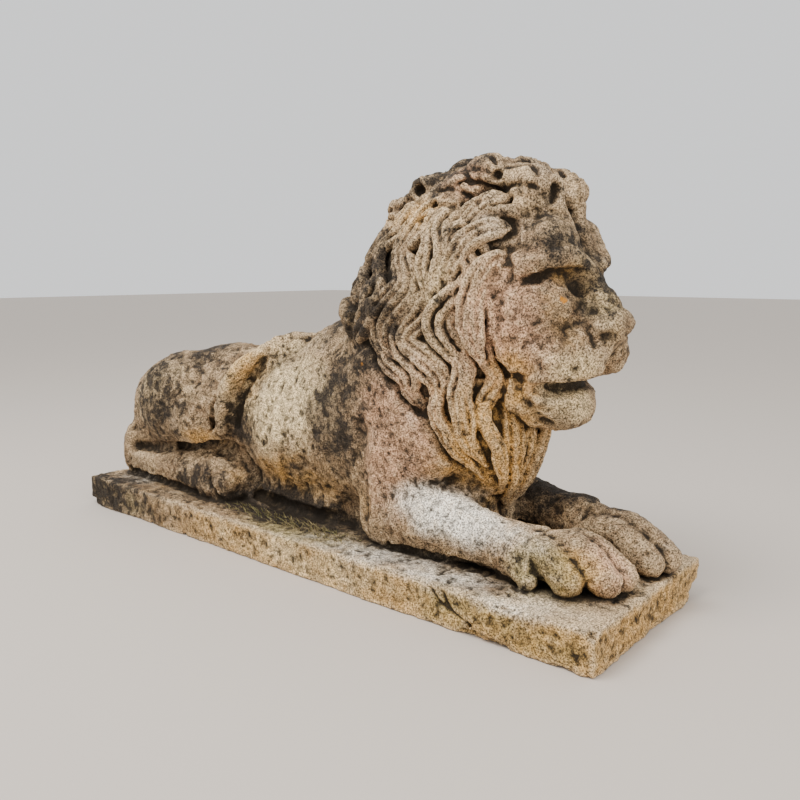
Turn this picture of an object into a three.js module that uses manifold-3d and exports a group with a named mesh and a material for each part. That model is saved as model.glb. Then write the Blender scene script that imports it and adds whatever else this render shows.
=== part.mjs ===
// A recumbent lion, carved with its slab from one block of soft limestone.
// Millimetres, +X to the lion's front, +Y to its left, +Z up, origin under the middle of the slab.
import * as THREE from "three";
import { mergeVertices } from "three/addons/utils/BufferGeometryUtils.js";
import Module from "manifold-3d";

// Driving dimensions
const SLAB_LENGTH = 1135;
const SLAB_WIDTH = 335;
const SLAB_THICK = 58;
const LION_HEIGHT = 577; // from the slab's top to the crown of the mane
const BODY_HALF_WIDTH = 116;
const MANE_HALF_WIDTH = 124;
const FORELEG_SPREAD = 74; // from the lion's mid-plane to the middle of each foreleg
const LION_SHIFT = 8; // the carver set the lion a little left of the slab's middle
const LOCKS_ROUND = 20; // locks of hair side by side round the mane
const LOCK_DEPTH = 9; // half the height from the hollow between two locks to their backs

const GROUND = SLAB_THICK;
const CROWN = GROUND + LION_HEIGHT;
const SIDES = [-1, 1]; // the lion's right and left
const UP = new THREE.Vector3(0, 0, 1);
const FORWARD = new THREE.Vector3(1, 0, 0);
const { clamp, degToRad, radToDeg, smoothstep } = THREE.MathUtils;

const wasm = await Module();
wasm.setup();

// The value at t, from 0 to 1, on a smooth run through the given values.
function along(values, t) {
  if (!Array.isArray(values)) return values;
  const last = values.length - 1;
  const i = Math.min(Math.floor(t * last), last - 1);
  const u = t * last - i;
  const [a, b] = [values[i], values[i + 1]];
  const before = values[Math.max(i - 1, 0)];
  const after = values[Math.min(i + 2, last)];
  const straight = a + (b - a) * u;
  const bend = u * (1 - u) * ((1 - u) * (b - before) * 0.5 + u * (a - after) * 0.5 + (2 * u - 1) * (b - a));
  return straight + bend;
}

// A ball's grid of points, each laid anew by place(u, angle). u runs from 0 to 1 between the poles, and
// angle is measured about the line between them.
function laidAnew(sides, rings, place) {
  const geometry = new THREE.SphereGeometry(1, sides, rings);
  const position = geometry.getAttribute("position");
  for (let i = 0; i < position.count; i++) {
    const u = Math.acos(clamp(position.getY(i), -1, 1)) / Math.PI;
    const angle = Math.atan2(position.getX(i), -position.getZ(i));
    const { x, y, z } = place(u, angle);
    position.setXYZ(i, x, y, z);
  }
  return geometry;
}

// The directions at a share t of a curve's length: along it, across it, and outward on the side of up.
function frameAt(curve, t, up) {
  const tangent = curve.getTangentAt(t);
  const across = new THREE.Vector3().crossVectors(tangent, up).normalize();
  const outward = new THREE.Vector3().crossVectors(across, tangent);
  return { point: curve.getPointAt(t), tangent, across, outward };
}

function curveThrough(points) {
  return new THREE.CatmullRomCurve3(points.map((p) => new THREE.Vector3(...p)), false, "centripetal");
}

// A rounded form drawn out along a path. wide is its half size across the path and tall its half size towards
// up, cap is the share of the path over which each end is rounded off, and relief(t, angle) turns a point round
// the path and moves it out. The rings stand closer near the ends.
function drawnOut({ path, wide, tall = wide, up = UP, cap = 0.3, sides = 12, rings = 8, relief }) {
  const curve = curveThrough(path);
  return laidAnew(sides, rings, (u, angle) => {
    const t = u - (0.6 * Math.sin(2 * Math.PI * u)) / (2 * Math.PI);
    const { point, across, outward } = frameAt(curve, t, up);
    const fromEnd = Math.min(t / cap, (1 - t) / cap, 1);
    const swell = Math.sqrt(1 - (1 - fromEnd) ** 2);
    const { turn, out } = relief ? relief(t, angle) : { turn: 0, out: 0 };
    point.addScaledVector(across, Math.sin(angle + turn) * (along(wide, t) + out) * swell);
    point.addScaledVector(outward, Math.cos(angle + turn) * (along(tall, t) + out) * swell);
    return point;
  });
}

// How far p is outside an egg-shaped mass with the given centre and half sizes, negative inside it.
function outsideMass(p, { centre, half }) {
  const [x, y, z] = [p.x - centre[0], p.y - centre[1], p.z - centre[2]];
  const scaled = Math.hypot(x / half[0], y / half[1], z / half[2]);
  const slope = Math.hypot(x / half[0] ** 2, y / half[1] ** 2, z / half[2] ** 2);
  return slope < 1e-9 ? -Math.min(...half) : (scaled * (scaled - 1)) / slope;
}

// The same for many masses, melted together where they meet over the length soft.
function outsideAll(p, masses, soft) {
  return masses.reduce((nearest, one) => {
    const distance = outsideMass(p, one);
    const mix = Math.max(soft - Math.abs(nearest - distance), 0) / soft;
    return Math.min(nearest, distance) - (mix * mix * soft) / 4;
  }, 1e4);
}

// One skin over many masses. Each point lies as far out from the spine as the masses reach that way, and cap is
// the share of the rings that fan out round each end of the spine.
function skin({ spine, up = UP, masses, soft, reach, cap, sides, rings }) {
  const curve = curveThrough(spine);
  const far = new THREE.Vector3();
  return laidAnew(sides, rings, (u, angle) => {
    const fan = (Math.max(cap - u, 0) - Math.max(u - 1 + cap, 0)) / cap;
    const tilt = (fan * Math.PI) / 2;
    const { point, tangent, across, outward } = frameAt(curve, clamp((u - cap) / (1 - 2 * cap), 0, 1), up);
    const towards = across.multiplyScalar(Math.sin(angle)).addScaledVector(outward, Math.cos(angle));
    towards.multiplyScalar(Math.cos(tilt)).addScaledVector(tangent, -Math.sin(tilt));
    let outside = reach;
    let inside = 0;
    const isOutside = (r) => outsideAll(far.copy(point).addScaledVector(towards, r), masses, soft) > 0;
    for (let r = reach; r > 0 && isOutside(r); r -= 4) {
      outside = r;
    }
    inside = Math.max(outside - 4, 0);
    for (let i = 0; i < 8; i++) {
      const middle = (outside + inside) / 2;
      if (isOutside(middle)) outside = middle;
      else inside = middle;
    }
    return point.addScaledVector(towards, inside);
  });
}

// A place on the lion, measured from its mid-plane on the side given, and one on the mid-plane.
const on = (side, x, y, z) => [x, LION_SHIFT + side * y, z];
const mid = (x, z) => [x, LION_SHIFT, z];

// A mass in the lion's mid-plane, and a pair of masses on both sides of it.
const mass = (x, z, ...half) => ({ centre: mid(x, z), half });
const pair = (x, y, z, ...half) => SIDES.map((side) => ({ centre: on(side, x, y, z), half }));

// Trunk, thighs, hocks and shoulders under one skin, down to the earth that the belly rests in.
function trunk() {
  const half = BODY_HALF_WIDTH;
  return skin({
    spine: [mid(-400, 160), mid(-250, 165), mid(-60, 170), mid(110, 190), mid(210, 210)],
    masses: [
      mass(-430, 190, 122, half * 0.8, 124),
      mass(-280, 216, 190, half * 0.79, 124),
      mass(-60, 208, 220, half * 0.97, 136),
      mass(80, 228, 180, half, 144),
      mass(68, 304, 150, half * 0.8, 106),
      mass(-100, GROUND + 4, 350, half * 0.85, 44),
      mass(-468, GROUND + 30, 74, 76, 80),
      mass(232, GROUND + 40, 112, 72, 92),
      mass(264, 190, 66, 64, 92),
      ...pair(-464, 60, 190, 88, 50, 100),
      ...pair(-368, 70, 224, 104, 52, 102),
      ...pair(-262, 80, 214, 72, 40, 66),
      ...pair(-514, 84, 106, 42, 34, 62),
      ...pair(160, 80, 300, 76, 38, 86),
      ...pair(190, 86, 215, 84, 40, 96),
      ...pair(168, 84, 132, 56, 36, 80),
    ],
    soft: 18,
    reach: 330,
    cap: 0.22,
    sides: 28,
    rings: 28,
  });
}

// A leg laid along the slab and its paw, where grooves between the toes deepen towards the front.
function laidLeg({ path, wide, tall, toesFrom, sides, rings }) {
  const toeStep = 36; // degrees round the leg from one groove to the next
  return drawnOut({
    path,
    wide,
    tall,
    cap: 0.1,
    sides,
    rings,
    relief: (t, angle) => {
      const degrees = Math.abs(radToDeg(angle));
      const grooved = smoothstep(t, toesFrom, toesFrom + 0.14) * (1 - smoothstep(degrees, 90, 115));
      return { turn: 0, out: -7 * grooved * Math.cos((2 * Math.PI * degrees) / toeStep) };
    },
  });
}

// One hind foot, folded flat along the slab under the thigh.
function hindFoot(side) {
  return laidLeg({
    path: [on(side, -552, 86, 88), on(side, -420, 92, 92), on(side, -300, 91, 88), on(side, -172, 88, 80)],
    wide: [28, 30, 31, 31, 40, 36],
    tall: [38, 38, 37, 40, 54, 40],
    toesFrom: 0.68,
    sides: 20,
    rings: 13,
  });
}

// One foreleg, laid forward along the slab from the elbow.
function foreLeg(side) {
  const lift = side > 0 ? 9 : 0; // the left one is carved a little higher
  return laidLeg({
    path: [
      on(side, 116, 84, 88), on(side, 225, 84, 112 + lift), on(side, 330, 80, 104 + lift),
      on(side, 440, FORELEG_SPREAD - 4, 88 + lift), on(side, 550, FORELEG_SPREAD - 10, 76),
    ],
    wide: [30, 42, 42, 38, 38, 45, 48, 42],
    tall: [38, 56, 60, 48, 38, 41, 46, 34],
    toesFrom: 0.68,
    sides: 20,
    rings: 18,
  });
}

// The tail comes up between thigh and flank on the right and lies with its tuft across the back.
function tail() {
  return drawnOut({
    path: [
      on(-1, -235, 96, 150), on(-1, -196, 110, 235), on(-1, -172, 104, 292),
      on(-1, -138, 66, 332), on(-1, -104, 26, 344), on(-1, -40, 10, 352),
    ],
    wide: [14, 17, 17, 19, 26, 20],
    tall: [14, 17, 17, 19, 20, 14],
    cap: 0.12,
    sides: 8,
    rings: 14,
  });
}

// The mane's bulk from the chest to the crown: its middle, and its half depth and half width at each height.
const MANE_FOOT = 118;
const MANE_MIDDLE = [330, 318, 290, 256, 232, 236, 258, 272, 282];
const MANE_DEPTH = [20, 58, 92, 134, 178, 176, 156, 130, 76];
const MANE_WIDTH = [0.36, 0.62, 0.84, 0.94, 1, 0.99, 0.93, 0.82, 0.56];

function mane() {
  const levels = MANE_MIDDLE.length - 1;
  const heightAt = (t) => MANE_FOOT + (CROWN - 8 - MANE_FOOT) * t;
  return drawnOut({
    path: MANE_MIDDLE.map((x, i) => mid(x, heightAt(i / levels))),
    wide: MANE_WIDTH.map((share) => share * MANE_HALF_WIDTH),
    tall: MANE_DEPTH,
    up: FORWARD,
    cap: 0.3,
    sides: 3 * LOCKS_ROUND,
    rings: 19,
    relief: (t, angle) => {
      const degrees = Math.abs(radToDeg(angle));
      const underFace = smoothstep(t, 0.34, 0.44) * (1 - smoothstep(degrees, 28, 41));
      const swing = Math.sin(2 * Math.PI * (3.1 * t + degrees / 260));
      const ridge = -Math.cos(angle * LOCKS_ROUND);
      const number = Math.floor((degrees * LOCKS_ROUND) / 360);
      const curl = ridge > 0 ? 4.5 * Math.cos(2 * Math.PI * (4.4 * t + 0.37 * number)) : 0;
      const ruff = 9 * Math.exp(-(((degrees - 50) / 13) ** 2)) * smoothstep(t, 0.4, 0.5);
      const carved = LOCK_DEPTH * ridge + curl + ruff;
      const turn = Math.sign(angle) * degToRad(6.5 * swing) * smoothstep(degrees, 0, 20);
      return { turn, out: carved * (1 - underFace) - 34 * underFace };
    },
  });
}

// Locks over the crown: the forelock swept up and back from the parting, a crest behind it, and the temple's curl.
function crownLocks(side) {
  const forelock = drawnOut({
    path: [on(side, 418, 22, 556), on(side, 402, 28, 582), on(side, 345, 40, 602), on(side, 275, 62, 598)],
    wide: [16, 24, 28, 22],
    tall: [14, 20, 22, 16],
    sides: 8,
    rings: 9,
  });
  const crest = drawnOut({
    path: [on(side, 340, 14, 610), on(side, 265, 24, 615), on(side, 185, 40, 575)],
    wide: [18, 28, 22],
    tall: [12, 18, 14],
    sides: 8,
    rings: 7,
  });
  const templeCurl = drawnOut({
    path: [on(side, 388, 68, 546), on(side, 360, 82, 552), on(side, 332, 92, 536), on(side, 308, 104, 496)],
    wide: [12, 17, 19, 14],
    tall: [12, 17, 18, 14],
    sides: 8,
    rings: 8,
  });
  return [forelock, crest, templeCurl];
}

// Forehead, brows, cheeks, bridge, nose and upper lip under one skin.
function face() {
  return skin({
    spine: [mid(320, 440), mid(370, 430), mid(425, 412)],
    masses: [
      mass(338, 496, 98, 98, 104),
      mass(402, 505, 40, 34, 40),
      mass(441, 462, 32, 30, 34),
      mass(470, 432, 28, 31, 26),
      mass(494, 405, 21, 37, 20),
      mass(428, 396, 76, 58, 52),
      ...pair(454, 34, 366, 46, 36, 36),
      ...pair(424, 60, 358, 40, 28, 40),
      ...pair(388, 62, 405, 50, 40, 84),
      ...pair(424, 58, 432, 36, 30, 40),
      ...pair(443, 36, 491, 20, 30, 14),
      ...pair(420, 74, 486, 26, 24, 16),
    ],
    soft: 12,
    reach: 190,
    cap: 0.42,
    sides: 28,
    rings: 21,
  });
}

// Chin and lower jaw, a step behind the upper lip, with the mouth a little open between them.
function lowerJaw() {
  return skin({
    spine: [mid(350, 296), mid(390, 290), mid(420, 288)],
    masses: [
      mass(418, 288, 40, 46, 30),
      mass(360, 300, 60, 66, 60),
      ...pair(398, 44, 298, 42, 26, 32),
      ...pair(388, 62, 316, 40, 28, 40),
    ],
    soft: 14,
    reach: 110,
    cap: 0.35,
    sides: 14,
    rings: 10,
  });
}

// The hollow of one eye, under the brow.
function eyeHollow(side) {
  const hollow = new THREE.SphereGeometry(1, 8, 6);
  hollow.scale(20, 22, 11);
  hollow.translate(...on(side, 452, 56, 470));
  return hollow;
}

function slab() {
  const geometry = new THREE.BoxGeometry(SLAB_LENGTH, SLAB_WIDTH, SLAB_THICK);
  geometry.translate(0, 0, SLAB_THICK / 2);
  return geometry;
}

// Losses along the slab's edges, each a shallow hollow: where it is, from the middle of the slab to its edges as
// shares of the half length and half width, whether it is at the top edge, and its size.
const LOSSES = [
  { length: 1, width: 1, top: 0, size: [34, 40, 26] },
  { length: 0.7, width: -1, top: 0, size: [30, 7, 13] },
  { length: 1, width: -1, top: 1, size: [16, 16, 12] },
  { length: -1, width: -1, top: 0, size: [20, 16, 14] },
  { length: -0.4, width: 1, top: 1, size: [60, 8, 10] },
];

function slabLoss({ length, width, top, size }) {
  const hollow = new THREE.SphereGeometry(1, 8, 6);
  hollow.scale(...size);
  hollow.translate((length * SLAB_LENGTH) / 2, (width * SLAB_WIDTH) / 2, top * SLAB_THICK);
  return hollow;
}

// The closed solid of one geometry.
function solid(geometry) {
  geometry.deleteAttribute("normal");
  geometry.deleteAttribute("uv");
  const merged = mergeVertices(geometry, 1e-3);
  const vertProperties = merged.attributes.position.array;
  const triVerts = new Uint32Array(merged.index.array);
  return new wasm.Manifold(new wasm.Mesh({ numProp: 3, vertProperties, triVerts }));
}

// A skin that ran below the slab's underside is cut off flat there.
function belowGround() {
  const geometry = new THREE.BoxGeometry(2 * SLAB_LENGTH, 2 * SLAB_LENGTH, SLAB_LENGTH);
  geometry.translate(0, 0, -SLAB_LENGTH / 2);
  return geometry;
}

const forms = [
  slab(),
  trunk(),
  ...SIDES.map(hindFoot),
  ...SIDES.map(foreLeg),
  tail(),
  mane(),
  ...SIDES.flatMap(crownLocks),
  face(),
  lowerJaw(),
];
const cuts = [belowGround(), ...LOSSES.map(slabLoss), ...SIDES.map(eyeHollow)];

const joined = forms.map(solid).reduce((whole, form) => whole.add(form));
const carved = cuts.map(solid).reduce((whole, cut) => whole.subtract(cut), joined);

const { vertProperties, triVerts } = carved.getMesh();
const stone = new THREE.BufferGeometry();
stone.setAttribute("position", new THREE.BufferAttribute(vertProperties, 3));
stone.setIndex(new THREE.BufferAttribute(triVerts, 1));
stone.computeVertexNormals();

const limestone = new THREE.MeshStandardMaterial({ color: 0xa08c70, roughness: 0.95, metalness: 0 });
const statue = new THREE.Mesh(stone, limestone);
statue.name = "lion_statue";

const part = new THREE.Group();
part.add(statue);

export default part;
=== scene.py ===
# %% [markdown]
# # A weathered stone lion
# A lion lies on a long slab, both carved from one block of soft limestone and left in the open for many
# years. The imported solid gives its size, pose and main forms. This script carves the finer relief on a
# copy of that solid, wears it down as rain does, and then stains the stone. Everything is kept in metres,
# in the solid's own frame.

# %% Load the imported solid
import math

import bpy
import numpy as np
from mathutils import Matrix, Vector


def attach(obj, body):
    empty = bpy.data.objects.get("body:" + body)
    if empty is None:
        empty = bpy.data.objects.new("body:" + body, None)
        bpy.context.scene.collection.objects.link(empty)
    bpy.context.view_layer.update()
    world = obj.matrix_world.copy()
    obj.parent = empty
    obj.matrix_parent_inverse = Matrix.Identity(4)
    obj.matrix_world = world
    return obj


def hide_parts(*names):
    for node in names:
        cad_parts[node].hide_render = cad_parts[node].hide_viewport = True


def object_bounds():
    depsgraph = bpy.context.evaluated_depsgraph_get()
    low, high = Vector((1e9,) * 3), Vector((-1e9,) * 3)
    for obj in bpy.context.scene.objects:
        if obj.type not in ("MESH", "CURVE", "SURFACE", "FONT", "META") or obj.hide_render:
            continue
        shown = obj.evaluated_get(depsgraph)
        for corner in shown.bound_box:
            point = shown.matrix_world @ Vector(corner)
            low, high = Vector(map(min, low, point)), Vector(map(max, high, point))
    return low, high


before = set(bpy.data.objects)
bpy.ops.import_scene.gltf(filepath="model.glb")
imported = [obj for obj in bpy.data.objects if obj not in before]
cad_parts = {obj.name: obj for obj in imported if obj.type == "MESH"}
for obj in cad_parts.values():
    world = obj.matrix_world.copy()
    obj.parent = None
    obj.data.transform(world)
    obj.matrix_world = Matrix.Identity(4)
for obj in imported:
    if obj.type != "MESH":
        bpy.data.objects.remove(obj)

import openvdb
from mathutils import Euler, Vector

cad_low, cad_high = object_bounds()
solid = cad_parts["lion_statue"]
print("solid", len(solid.data.vertices), "points, size", [round(v, 3) for v in cad_high - cad_low])

# %% [markdown]
# ## Camera
# The lion is seen from in front of its right shoulder, at about the height of its eyes. The lens and
# the place of the camera were worked out from the corners of the slab, so it is simply set there. It is
# made first, because every later step is judged through it.

# %% Camera
CAMERA_PLACE = (0.954, -0.976, 0.4746)
CAMERA_TURN = 40.16  # degrees about the vertical
CAMERA_DIP = 9.18  # degrees below the horizon
LENS = 35.75  # mm on a 36 mm wide sensor

camera = bpy.data.objects.new("camera", bpy.data.cameras.new("camera"))
bpy.context.scene.collection.objects.link(camera)
camera.data.sensor_width = 36
camera.data.lens = LENS
camera.location = CAMERA_PLACE
camera.rotation_euler = Euler((math.radians(90 - CAMERA_DIP), 0, math.radians(CAMERA_TURN)))
bpy.context.scene.camera = camera
print("camera", [round(v, 3) for v in camera.location])

# %% [markdown]
# ## The block as a field of distances
# Carved stone has no clean edges: forms melt into each other, and tools leave hollows that undercut.
# Moving the points of a mesh can't do that, so the stone is kept as a box of small cells, each holding its
# distance to the surface, negative inside. Joining, cutting and wearing down are then plain arithmetic on
# the cells, and the surface is taken out again at the end.

# %% Cells of the block
CELL = 0.002
MARGIN = 0.02
BAND = 8  # cells on each side of the surface that hold true distances

corner = np.array(cad_low) - MARGIN
counts = np.ceil((np.array(cad_high) + MARGIN - corner) / CELL).astype(int) + 1
axis_x, axis_y, axis_z = (corner[i] + CELL * np.arange(counts[i]) for i in range(3))


def field_of(points, faces):
    """Distances from every cell to a closed mesh of triangles, which may overlap itself."""
    transform = openvdb.createLinearTransform(voxelSize=CELL)
    grid = openvdb.FloatGrid.createLevelSetFromPolygons(
        points=np.asarray(points - corner, np.float32),
        triangles=np.asarray(faces, np.uint32),
        transform=transform,
        halfWidth=BAND,
    )
    field = np.full(counts, grid.background, np.float32)
    grid.copyToArray(field, ijk=(0, 0, 0))
    return field


def mesh_arrays(obj):
    obj.data.calc_loop_triangles()
    points = np.empty(len(obj.data.vertices) * 3, np.float32)
    obj.data.vertices.foreach_get("co", points)
    faces = np.empty(len(obj.data.loop_triangles) * 3, np.int32)
    obj.data.loop_triangles.foreach_get("vertices", faces)
    return points.reshape(-1, 3), faces.reshape(-1, 3)


stone = field_of(*mesh_arrays(solid))
print("cells", stone.shape, "inside", round(float((stone < 0).mean()), 3))

# %% [markdown]
# ## Wearing the facets off
# The solid is made of flat facets. Averaging each cell with its neighbours rounds every edge by about the
# averaging reach, as weather does. The broad body takes a long reach, and the head and the paws a shorter
# one, so the two results are mixed by where they are on the lion. The slab keeps its hewn edges.

# %% Rounding the whole
def blurred(field, reach):
    """The field averaged with a bell-shaped weight of that reach in metres."""
    spread = reach / CELL
    radius = int(math.ceil(2.6 * spread))
    weights = np.exp(-0.5 * (np.arange(-radius, radius + 1) / spread) ** 2).astype(np.float32)
    weights /= weights.sum()
    for axis in range(3):
        padding = [(radius, radius) if i == axis else (0, 0) for i in range(3)]
        padded = np.pad(field, padding, mode="edge")
        total = np.zeros_like(field)
        for step, weight in enumerate(weights):
            part = [slice(None)] * 3
            part[axis] = slice(step, step + field.shape[axis])
            total += weight * padded[tuple(part)]
        field = total
    return field


def rise(values, low, high):
    """0 below low, 1 above high, and a smooth run between them."""
    share = np.clip((values - low) / (high - low), 0, 1)
    return share * share * (3 - 2 * share)


LION_SHIFT = 0.008  # the lion lies a little left of the slab's middle
X = axis_x[:, None, None].astype(np.float32)
Y = axis_y[None, :, None].astype(np.float32) - LION_SHIFT
Z = axis_z[None, None, :].astype(np.float32)

slab_top = 0.058
near_slab = 1 - rise(Z, slab_top, slab_top + 0.03)
head = rise(X, 0.30, 0.36) * rise(Z, 0.20, 0.26)
paws = rise(X, 0.36, 0.42) * (1 - rise(Z, 0.20, 0.26))
kept_sharp = np.clip(near_slab + head + paws, 0, 1)
hewn = 1 - rise(Z, slab_top - 0.002, slab_top + 0.006)
worn = kept_sharp * blurred(stone, 0.003) + (1 - kept_sharp) * blurred(stone, 0.010)
stone = hewn * stone + (1 - hewn) * worn
print("rounded")

# %% [markdown]
# ## Tools for joining and cutting
# A carver works with a few strokes: leave a swelling, cut a hollow, run a ridge or a groove. Each becomes
# one function here that changes only the cells near the stroke. The soft length says over how much stone
# the stroke melts into what is there. Places are given on the lion's right or left, in millimetres from
# its mid-plane, which reads like a carver's notes.

# %% Strokes
SIDES = (-1, 1)  # the lion's right and left


def melted(a, b, soft):
    """The smaller of two distances, melted together over the length soft."""
    mix = np.maximum(soft - np.abs(a - b), 0) / soft
    return np.minimum(a, b) - mix * mix * soft / 4


def metres(side, x, y, z):
    """A place on the lion's right or left, from millimetres off its mid-plane."""
    return np.array((x, side * y, z), np.float32) / 1000


def route(side, *points):
    """A path through such places."""
    return [metres(side, *point) for point in points]


def near(low, high, reach):
    """The cells of a box, grown by reach, and their places."""
    parts = []
    for axis, line, shift in ((0, axis_x, 0), (1, axis_y, LION_SHIFT), (2, axis_z, 0)):
        first = np.searchsorted(line, low[axis] + shift - reach)
        last = np.searchsorted(line, high[axis] + shift + reach)
        parts.append(slice(first, last))
    places = (X[parts[0]], Y[:, parts[1]], Z[:, :, parts[2]])
    return tuple(parts), places


def stroke(cells, distance, soft, cut):
    if cut:
        stone[cells] = -melted(-stone[cells], distance, soft)
    else:
        stone[cells] = melted(stone[cells], distance, soft)


def swelling(centre, half, soft=0.006, cut=False):
    """Leaves an egg-shaped mass, or cuts a hollow of that shape."""
    half = np.array(half, np.float32) / 1000
    cells, (x, y, z) = near(centre - half, centre + half, soft + 0.006)
    x, y, z = x - centre[0], y - centre[1], z - centre[2]
    scaled = np.sqrt((x / half[0]) ** 2 + (y / half[1]) ** 2 + (z / half[2]) ** 2)
    slope = np.sqrt((x / half[0] ** 2) ** 2 + (y / half[1] ** 2) ** 2 + (z / half[2] ** 2) ** 2)
    stroke(cells, scaled * (scaled - 1) / np.maximum(slope, 1e-6), soft, cut)


def ridge(path, radii, soft=0.006, cut=False):
    """Leaves a rounded ridge along a path of points, or cuts a groove along it."""
    path = np.array(path, np.float32)
    radii = np.broadcast_to(np.array(radii, np.float32) / 1000, len(path))
    cells, (x, y, z) = near(path.min(0), path.max(0), float(radii.max()) + soft + 0.004)
    distance = None
    for a, b, start, end in zip(path[:-1], path[1:], radii[:-1], radii[1:]):
        run = b - a
        share = ((x - a[0]) * run[0] + (y - a[1]) * run[1] + (z - a[2]) * run[2]) / float(run @ run)
        share = np.clip(share, 0, 1)
        off = np.sqrt((x - a[0] - share * run[0]) ** 2 + (y - a[1] - share * run[1]) ** 2
                      + (z - a[2] - share * run[2]) ** 2)
        one = off - (start + share * (end - start))
        distance = one if distance is None else np.minimum(distance, one)
    stroke(cells, distance, soft, cut)


def laid(face, a, b, out=0):
    """A place on the stone as seen from its right, its left or above, moved out by some millimetres.

    a and b are x and z on the right and left, and x and y from above."""
    axis = {"right": 1, "left": 1, "above": 2}[face]
    lines = [axis_x, axis_y - LION_SHIFT, axis_z]
    free = [i for i in range(3) if i != axis]
    index = [slice(None)] * 3
    for i, value in zip(free, (a, b)):
        index[i] = int(np.argmin(np.abs(lines[i] - value / 1000)))
    inside = np.nonzero(stone[tuple(index)] < 0)[0]
    sign = -1 if face == "right" else 1
    place = np.zeros(3, np.float32)
    place[free] = a / 1000, b / 1000
    place[axis] = lines[axis][inside[0] if sign < 0 else inside[-1]] + sign * out / 1000
    return place


def groove(face, points, radius, depth, soft=0.004):
    """Cuts a groove that follows the stone's surface through places on one of its faces."""
    ridge([laid(face, a, b, radius - depth) for a, b in points], radius, soft, cut=True)


FLANKS = {-1: "right", 1: "left"}
print("strokes ready")

# %% [markdown]
# ## Haunch, flank and feet
# The hind leg is folded under a big round thigh, the tail comes up in front of it, and the belly swells
# with a few soft folds over the ribs. A carver finds these forms by cutting the valleys between them, so
# this step is mostly grooves, laid on the surface by their place on the flank. Both flanks get the same
# cuts, and only the right one has the tail.

# %% Valleys of the body
for side in SIDES:
    flank = FLANKS[side]
    swelling(laid(flank, -376, 222, -24), (88, 46, 80), 0.024)
    swelling(laid(flank, -296, 200, -24), (62, 40, 52), 0.024)
    swelling(laid(flank, -532, 112, -14), (22, 20, 46), 0.016)
    groove(flank, [(-505, 150), (-502, 120)], 12, 7, 0.012)
    groove(flank, [(-500, 118), (-425, 126), (-330, 144), (-240, 158)], 11, 10, 0.008)
    groove(flank, [(-370, 136), (-310, 146), (-250, 158)], 10, 15, 0.006)
    swelling(laid(flank, -226, 152, 6), (30, 20, 18), 0.012, cut=True)
    groove(flank, [(-240, 168), (-226, 210), (-218, 255), (-202, 292)], 10, 9, 0.01)
    groove(flank, [(-182, 150), (-160, 112), (-150, 80)], 12, 10, 0.008)
    groove(flank, [(146, 240), (140, 200), (140, 150), (146, 100)], 16, 5, 0.016)
    groove(flank, [(-150, 72), (-60, 70), (40, 70), (120, 72)], 13, 12)
    groove(flank, [(-520, 66), (-400, 66), (-270, 62)], 8, 8)
    groove(flank, [(200, 66), (300, 66), (420, 64)], 8, 8)
    for x, low, high in ((-112, 110, 255), (-70, 120, 235), (-28, 130, 215)):
        ridge([laid(flank, x + 14 * share, low + (high - low) * share, -11) for share in (0, 0.35, 0.7, 1)],
              [9, 14, 14, 9], 0.02)
print("valleys cut")

# %% Toes
def smooth_path(points, rows):
    """A smooth curve through a few points, by cubic pieces between them."""
    points = np.array(points, float)
    ends = np.concatenate([[2 * points[0] - points[1]], points, [2 * points[-1] - points[-2]]])
    share = np.linspace(0, len(points) - 1 - 1e-6, rows)
    i = share.astype(int)
    u = (share - i)[:, None]
    a, b, c, d = (ends[i + k] for k in range(4))
    bend = 2 * a - 5 * b + 4 * c - d
    twist = 3 * b - a - 3 * c + d
    return 0.5 * (2 * b + (c - a) * u + bend * u ** 2 + twist * u ** 3)


TOES = [  # root, knuckle, tip and half width of each toe of the right forefoot, outermost first
    ((392, 96, 78), (416, 104, 78), (438, 110, 70), 13),
    ((420, 82, 98), (456, 92, 106), (488, 96, 78), 22),
    ((436, 62, 106), (482, 66, 112), (526, 68, 80), 23),
    ((440, 38, 102), (486, 38, 110), (536, 36, 79), 21),
]
LEFT_TOES_ON = (22, 44, 26, 6)  # how much farther forward the left foot's toes reach
BACK_OF_FOOT = {-1: 454, 1: 476}
TOE_SWELL = np.array([0.85, 0.95, 1, 1, 1, 1.02, 1])  # width along a toe, from root to tip

paw_front = rise(X, 0.438, 0.452) * rise(Z, slab_top, slab_top + 0.004) * (1 - rise(Z, 0.17, 0.18))
stone = stone + 0.06 * paw_front
for side in SIDES:
    swelling(metres(side, BACK_OF_FOOT[side], 64, 88), (40, 44, 25), 0.012)
    if side > 0:  # the left leg runs on to its foot
        ridge(route(side, (418, 66, 112), (446, 66, 106), (474, 66, 100)), [32, 32, 26], 0.014)
    for (root, knuckle, tip, width), on in zip(TOES, LEFT_TOES_ON):
        shift = on if side > 0 else 0
        path = smooth_path([metres(side, *root), metres(side, knuckle[0] + shift * 0.6, *knuckle[1:]),
                            metres(side, tip[0] + shift, *tip[1:])], 7)
        ridge(path, width * TOE_SWELL, 0.005)
    for x, y, z, size in ((-236, 100, 104, 26), (-206, 108, 92, 22), (-200, 84, 96, 22), (-262, 108, 84, 20)):
        swelling(metres(side, x, y, z), (size * 1.2, size * 0.8, size), 0.006)
    groove(FLANKS[side], [(-232, 96), (-214, 78), (-206, 64)], 6, 5)
print("toes on four feet")

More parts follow.
